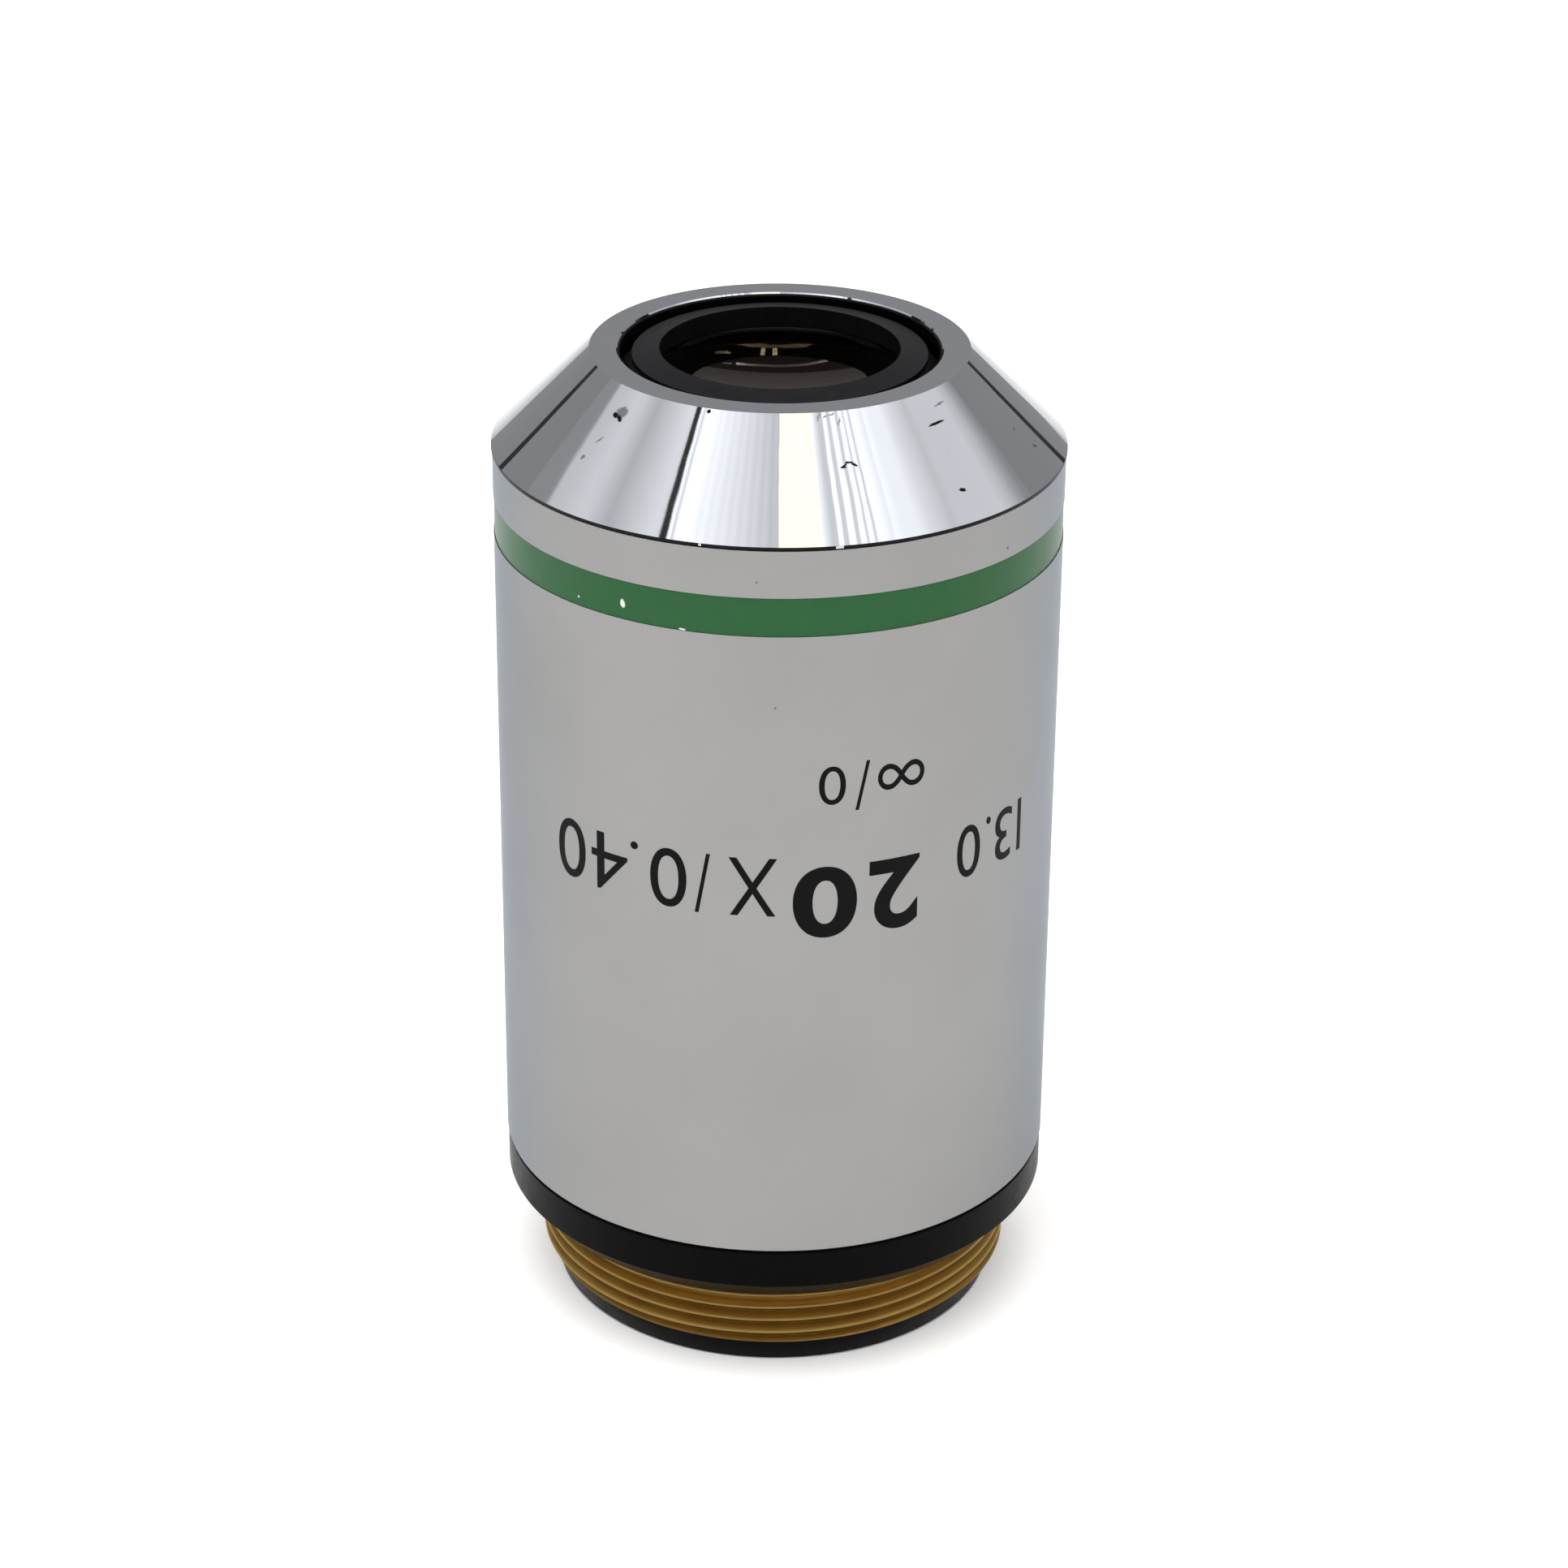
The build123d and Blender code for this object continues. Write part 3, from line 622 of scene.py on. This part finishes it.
# Painted light: seen in the metal and through the glass, the table is lifted a little more near the object than
# further out
painted_light_pool = add(tree, "MapRange", {
    "Value": from_axis, "From Min": 30 * MM, "From Max": 90 * MM, "To Min": 0.08, "To Max": 0.06,
})
outside = add(tree, "Math", {0: from_axis, 1: PILOT_RADIUS * MM}, operation="GREATER_THAN")
lift = add(tree, "Mix", {0: add(tree, "LightPath", {}, "Is Camera Ray"), 2: painted_light_pool, 3: TABLE_LIFT}, 0)
shown = add(tree, "Math", {0: shown_white(tree), 1: outside}, operation="MULTIPLY")
lift = add(tree, "Math", {0: lift, 1: shown}, operation="MULTIPLY")
matt = add(tree, "BsdfDiffuse", {"Color": linear(TABLE_COLOUR)})
white = add(tree, "Emission", {"Color": (1.0, 1.0, 1.0, 1.0), "Strength": lift})
add(tree, "OutputMaterial", {"Surface": add(tree, "AddShader", {0: matt, 1: white})})
HALF_TABLE = 4000
corners = [(x * HALF_TABLE, y * HALF_TABLE) for x, y in ((-1, -1), (1, -1), (1, 1), (-1, 1))]
stage_card("table", corners, [1.0] * 4, paper, REAR_Z)

# Light fittings that only the metal and the glass reflect. Their places are given on a ceiling
# 305 mm over the nose and then moved out by FAR, so that stripes run straight down the cone.
FAR = 4
OVER = 305
NOSE_FOOT_Z = 45


def fitting(name, columns, light, seen_through_glass=False):
    """A card made of columns: the two ends of each, as (x, y, z), and the strength there."""
    corners = [end for ends in columns for end in ends[:2]]
    strengths = [ends[2] for ends in columns for _ in range(2)]
    faces = [(2 * k, 2 * k + 2, 2 * k + 3, 2 * k + 1) for k in range(len(columns) - 1)]
    card = stage_card(name, corners, strengths, light, None, faces, FAR)
    only_reflected(card)
    card.visible_transmission = seen_through_glass
    return card


def arc(x):
    """Middle of the arc of ceiling that the cone gathers and mirrors to the camera."""
    return -129 + 0.0016 * x ** 2 + 1.23e-9 * x ** 4


cool_light = glow("cool_light", "#FAFBFF")
warm_light = glow("warm_light", "#FFFCE4")

# Lit panels along that arc: x on the ceiling and the strength there
ROOM_LEFT = [(-620, 0.40), (-440, 0.43), (-430, 0.48)]
WINDOW = [
    (-418, 0.9), (-385, 0.93), (-340, 1.06), (-318, 1.02), (-277, 0.74), (-236, 0.99), (-196, 1.26), (-186, 1.24),
]
WINDOW_FRAME = [(-184, 0.9), (-182, 0.05), (-172.5, 0.05)]
BLIND = [(-171.5, 1.2), (-169, 1.84), (-166, 1.84), (-165, 1.25), (-161, 1.25), (-160, 1.8), (-141, 1.85)]
FOLD = 8                      # the curtain's folds, each a little brighter or darker than the last
CURTAIN_END = -133
CURTAIN = [
    (x, 1.74 - 0.0062 * (x - CURTAIN_END) + (0.06 if x % (2 * FOLD) == 11 else -0.06))
    for x in range(CURTAIN_END, 0, FOLD)
]
BESIDE_LAMP = [(0, 0.9), (65, 0.9), (66, 1.8), (76, 1.30), (82, 1.05), (90, 1.05)]
SLAT_EDGES = [91, 98, 100, 106, 108, 117.5, 119, 124, 126, 134, 135, 137.5, 138.5, 146, 147, 150, 151, 163]
SLATS = [(edge, 1.8 if k % 4 in (0, 1) else 1.1) for k, edge in enumerate(SLAT_EDGES)]
SCREEN = [
    (177, 1.52), (181, 1.76), (195, 1.57), (220, 1.56), (244, 1.25), (285, 0.92), (300, 1.0), (400, 1.02),
]
ROOM_RIGHT = [(435, 0.82), (462, 0.59), (492, 0.42), (620, 0.38)]
DEPTH = 60
panels = ROOM_LEFT + WINDOW + WINDOW_FRAME + BLIND + CURTAIN + BESIDE_LAMP + SLATS + SCREEN + ROOM_RIGHT
ends = [(x, strength, arc(x) - DEPTH, arc(x) + DEPTH + max(0, abs(x) - 380)) for x, strength in panels]
columns = [((x, front, OVER), (x, back, OVER), strength) for x, strength, front, back in ends]
fitting("panels", columns, cool_light)
LAMP_EDGES = (0, 67)
columns = [((x, arc(x) - DEPTH, OVER - 1), (x, arc(x) + DEPTH, OVER - 1), 2.0) for x in LAMP_EDGES]
fitting("warm_lamp", columns, warm_light)

# Above the panels the metal sees grey parts of the ceiling, and the glass sees that it is dark
CEILING = OVER + 2
HALF_CEILING = 640


def ceiling_part(name, front, back, height, strength, seen_through_glass=False):
    columns = [((x, front, height), (x, back, height), strength) for x in (-HALF_CEILING, HALF_CEILING)]
    fitting(name, columns, cool_light, seen_through_glass)


ceiling_part("dark_ceiling", -HALF_CEILING, HALF_CEILING, CEILING + 1, 0.015, True)
ceiling_part("front_ceiling", -HALF_CEILING, -250, CEILING, 0.45)
ceiling_part("middle_ceiling", -250, 235, CEILING, 0.7)
ceiling_part("rear_ceiling", 345, HALF_CEILING, CEILING, 0.09)

# Small lamps that only the front lens shows, by its front face or by its rear face: x, y and
# strength along each, then half its width
FRONT_FACE_LAMPS = {
    "tube_near": ([
        (35.3, 530.9, 3.4), (26, 530, 1.4), (16.9, 529.3, 0.7), (-1.4, 531, 0.5), (-22.2, 520.9, 0.8),
        (-40.1, 491.6, 2.0),
    ], 12),
    "foot_left": ([(39.4, 536.5, 1.2), (46.7, 539.6, 0.4)], 9),
    "foot_right": ([(-40.8, 492.3, 1.2), (-50.7, 498.1, 0.4)], 9),
}
REAR_FACE_LAMPS = {
    "tube_far": ([
        (135, -42, 6), (102, -48, 3), (72, -51, 2), (2, -53, 1.4), (-66, -53, 2), (-115, -55, 3.5), (-155, -58, 4),
    ], 6),
    "spot_left": ([(53, -25, 9), (40, -25, 9)], 20),
    "spot_right": ([(20, -27, 9), (7, -27, 9)], 20),
    "low_left": ([(144, 3, 5), (173, 7, 2.5), (201, 21, 1)], 9),
}
for name, (points, half) in (FRONT_FACE_LAMPS | REAR_FACE_LAMPS).items():
    behind_glass = name in REAR_FACE_LAMPS
    columns = [((x, y - half, OVER), (x, y + half, OVER), strength) for x, y, strength in points]
    fitting(name, columns, cool_light, behind_glass).visible_glossy = not behind_glass

# Grey walls round the table, darker behind it, with two dark corners there
WALL = 620
WALL_FOOT = -50
FRONT_WALL = 0.42
REAR_WALL = 0.36
REAR_FROM = 110               # azimuth from which a wall is behind the table
CORNERS = [-140.0, 146.8]
HALF_CORNER = 1.1
CORNER_EDGE = 0.2
azimuths = set(range(-180, 181, 6))
for corner in CORNERS:
    azimuths |= {corner - HALF_CORNER - CORNER_EDGE, corner - HALF_CORNER}
    azimuths |= {corner + HALF_CORNER, corner + HALF_CORNER + CORNER_EDGE}
columns = []
for azimuth in sorted(azimuths):
    strength = FRONT_WALL if abs(azimuth) < REAR_FROM else REAR_WALL
    if any(abs(corner - azimuth) <= HALF_CORNER for corner in CORNERS):
        strength = 0.05
    x, y, _ = WALL * outward(azimuth)
    columns.append(((x, y, WALL_FOOT), (x, y, CEILING), strength))
fitting("walls", columns, cool_light)

# What light from inside the glass meets is a dark room, as the lens shows nothing of the walls
HOOD = 590
ends = [(HOOD * outward(azimuth))[:2] for azimuth in range(-180, 181, 12)]
columns = [((x, y, WALL_FOOT), (x, y, CEILING), 0.004) for x, y in ends]
fitting("hood", columns, cool_light, True).visible_glossy = False


def soft_lamp(name, place, size, watts):
    light = bpy.data.lights.new(name, "AREA")
    light.shape = "DISK"
    light.size = size * MM
    light.energy = watts
    lamp = bpy.data.objects.new(name, light)
    lamp.location = Vector(place) * MM
    lamp.rotation_euler = (-Vector(place)).to_track_quat("-Z", "Y").to_euler()
    lamp.visible_glossy = False
    lamp.visible_transmission = False
    bpy.context.scene.collection.objects.link(lamp)


soft_lamp("overhead_lamp", (-60, -120, 560), 620, 3.0)

# The camera of the photograph, worked out from the object's turned edges
CAMERA_PLACE = (0.0, -200.997, 119.033)
CAMERA_DIP = 26.197
CAMERA_ROLL = 0.4345
IMAGE = 1932
FOCAL_PIXELS = 5265.04
AXIS_X, AXIS_Y = 956.558, 1024.129
dip, roll = math.radians(CAMERA_DIP), math.radians(CAMERA_ROLL)
ahead = Vector((0, math.cos(dip), -math.sin(dip)))
level = Vector((1, 0, 0))
rise = level.cross(ahead)
right = level * math.cos(roll) + rise * math.sin(roll)
up = rise * math.cos(roll) - level * math.sin(roll)
camera_data = bpy.data.cameras.new("camera")
camera_data.sensor_width = 36
camera_data.lens = FOCAL_PIXELS / IMAGE * camera_data.sensor_width
camera_data.shift_x = (IMAGE / 2 - AXIS_X) / IMAGE
camera_data.shift_y = (AXIS_Y - IMAGE / 2) / IMAGE
camera_data.clip_start = 0.01
camera = bpy.data.objects.new("camera", camera_data)
turned = Matrix((right, up, -ahead)).transposed().to_4x4()
camera.matrix_world = Matrix.Translation(Vector(CAMERA_PLACE) * MM) @ turned
bpy.context.scene.collection.objects.link(camera)
bpy.context.scene.camera = camera
bpy.context.scene.view_settings.view_transform = "Standard"
